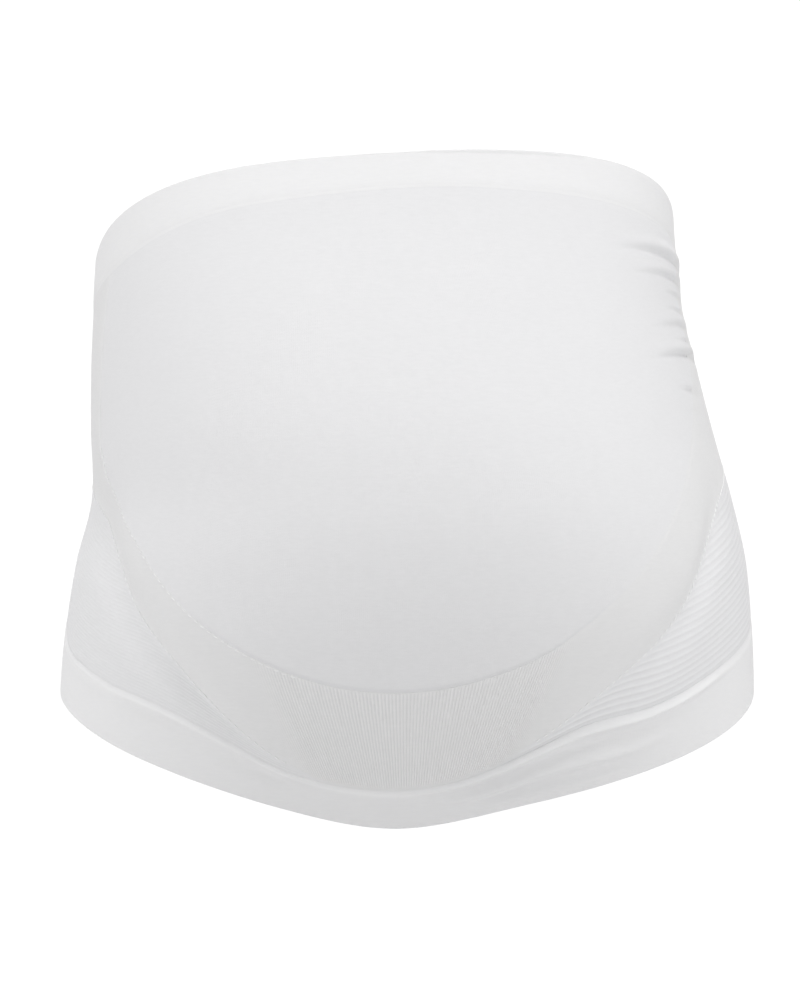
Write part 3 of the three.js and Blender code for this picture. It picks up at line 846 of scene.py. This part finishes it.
# ---- Floor and light ----
# A plain pale floor well below the belt, which is held up, and soft white light from above and in
# front, with a little less from below, so that the underside of the belly is in a soft shade.
floor_reach, floor_level = 6.0, -0.32
white_seen = 1.08
floor_mesh = bpy.data.meshes.new("floor")
floor_corners = [(x * floor_reach, y * floor_reach, 0) for x, y in ((-1, -1), (1, -1), (1, 1), (-1, 1))]
floor_mesh.from_pydata(floor_corners, [], [(0, 1, 2, 3)])
floor = bpy.data.objects.new("floor", floor_mesh)
floor.location = (0, 0, floor_level)
bpy.context.scene.collection.objects.link(floor)
floor_finish = bpy.data.materials.new("pale_floor")
floor_finish.use_nodes = True
ground = floor_finish.node_tree
paint = ground.nodes["Principled BSDF"]
paint.inputs["Base Color"].default_value = (0.62, 0.62, 0.62, 1)
paint.inputs["Roughness"].default_value = 0.9
paint.inputs["Emission Color"].default_value = (1, 1, 1, 1)
paint.inputs["Emission Strength"].default_value = 0.16
glow = ground.nodes.new("ShaderNodeEmission")
glow.inputs["Color"].default_value = (1, 1, 1, 1)
glow.inputs["Strength"].default_value = white_seen
seen = ground.nodes.new("ShaderNodeLightPath")
veil = ground.nodes.new("ShaderNodeMath")
veil.operation = "MULTIPLY"
veil.inputs[1].default_value = 0.93
blend = ground.nodes.new("ShaderNodeMixShader")
ground.links.new(seen.outputs["Is Camera Ray"], veil.inputs[0])
ground.links.new(veil.outputs[0], blend.inputs["Fac"])
ground.links.new(paint.outputs[0], blend.inputs[1])
ground.links.new(glow.outputs[0], blend.inputs[2])
ground.links.new(blend.outputs[0], ground.nodes["Material Output"].inputs["Surface"])
floor_mesh.materials.append(floor_finish)

world = bpy.data.worlds.new("studio")
bpy.context.scene.world = world
world.use_nodes = True
sky = world.node_tree
soft = sky.nodes["Background"]
soft.inputs["Color"].default_value = (0.995, 0.995, 1.0, 1)
soft.inputs["Strength"].default_value = 0.415
white = sky.nodes.new("ShaderNodeBackground")
white.inputs["Color"].default_value = (1, 1, 1, 1)
white.inputs["Strength"].default_value = white_seen
looked = sky.nodes.new("ShaderNodeLightPath")
backdrop = sky.nodes.new("ShaderNodeMixShader")
sky.links.new(looked.outputs["Is Camera Ray"], backdrop.inputs["Fac"])
sky.links.new(soft.outputs[0], backdrop.inputs[1])
sky.links.new(white.outputs[0], backdrop.inputs[2])
sky.links.new(backdrop.outputs[0], sky.nodes["World Output"].inputs["Surface"])


def softbox(name, place, target, size, power):
    """A round soft lamp that faces its target, hidden from the camera. Lengths are in metres."""
    lamp = bpy.data.lights.new(name, "AREA")
    lamp.shape = "DISK"
    lamp.size = size
    lamp.energy = power
    lamp.color = (1.0, 0.995, 0.99)
    holder = bpy.data.objects.new(name, lamp)
    holder.location = place
    away = [a - b for a, b in zip(place, target)]
    flat_reach = math.hypot(away[0], away[1])
    holder.rotation_euler = (math.atan2(flat_reach, away[2]), 0, math.atan2(away[0], -away[1]))
    holder.visible_camera = False
    bpy.context.scene.collection.objects.link(holder)


softbox("overhead", (0.2, -1.2, 2.2), (0, -0.1, 0), 2.4, 34.2)
softbox("left_front", (1.9, -1.6, 0.5), (0, 0, 0), 1.6, 11)
softbox("left_side", (2.1, -0.3, 0.3), (0, 0, 0), 1.6, 4)
softbox("right_side", (-2.0, -0.6, 0.3), (0, 0, 0), 1.6, 13.4)
softbox("rear", (-0.2, 2.2, 1.4), (0, 0, 0), 2.0, 24)
bpy.context.scene.view_settings.view_transform = "Standard"
bpy.context.scene.view_settings.look = "None"
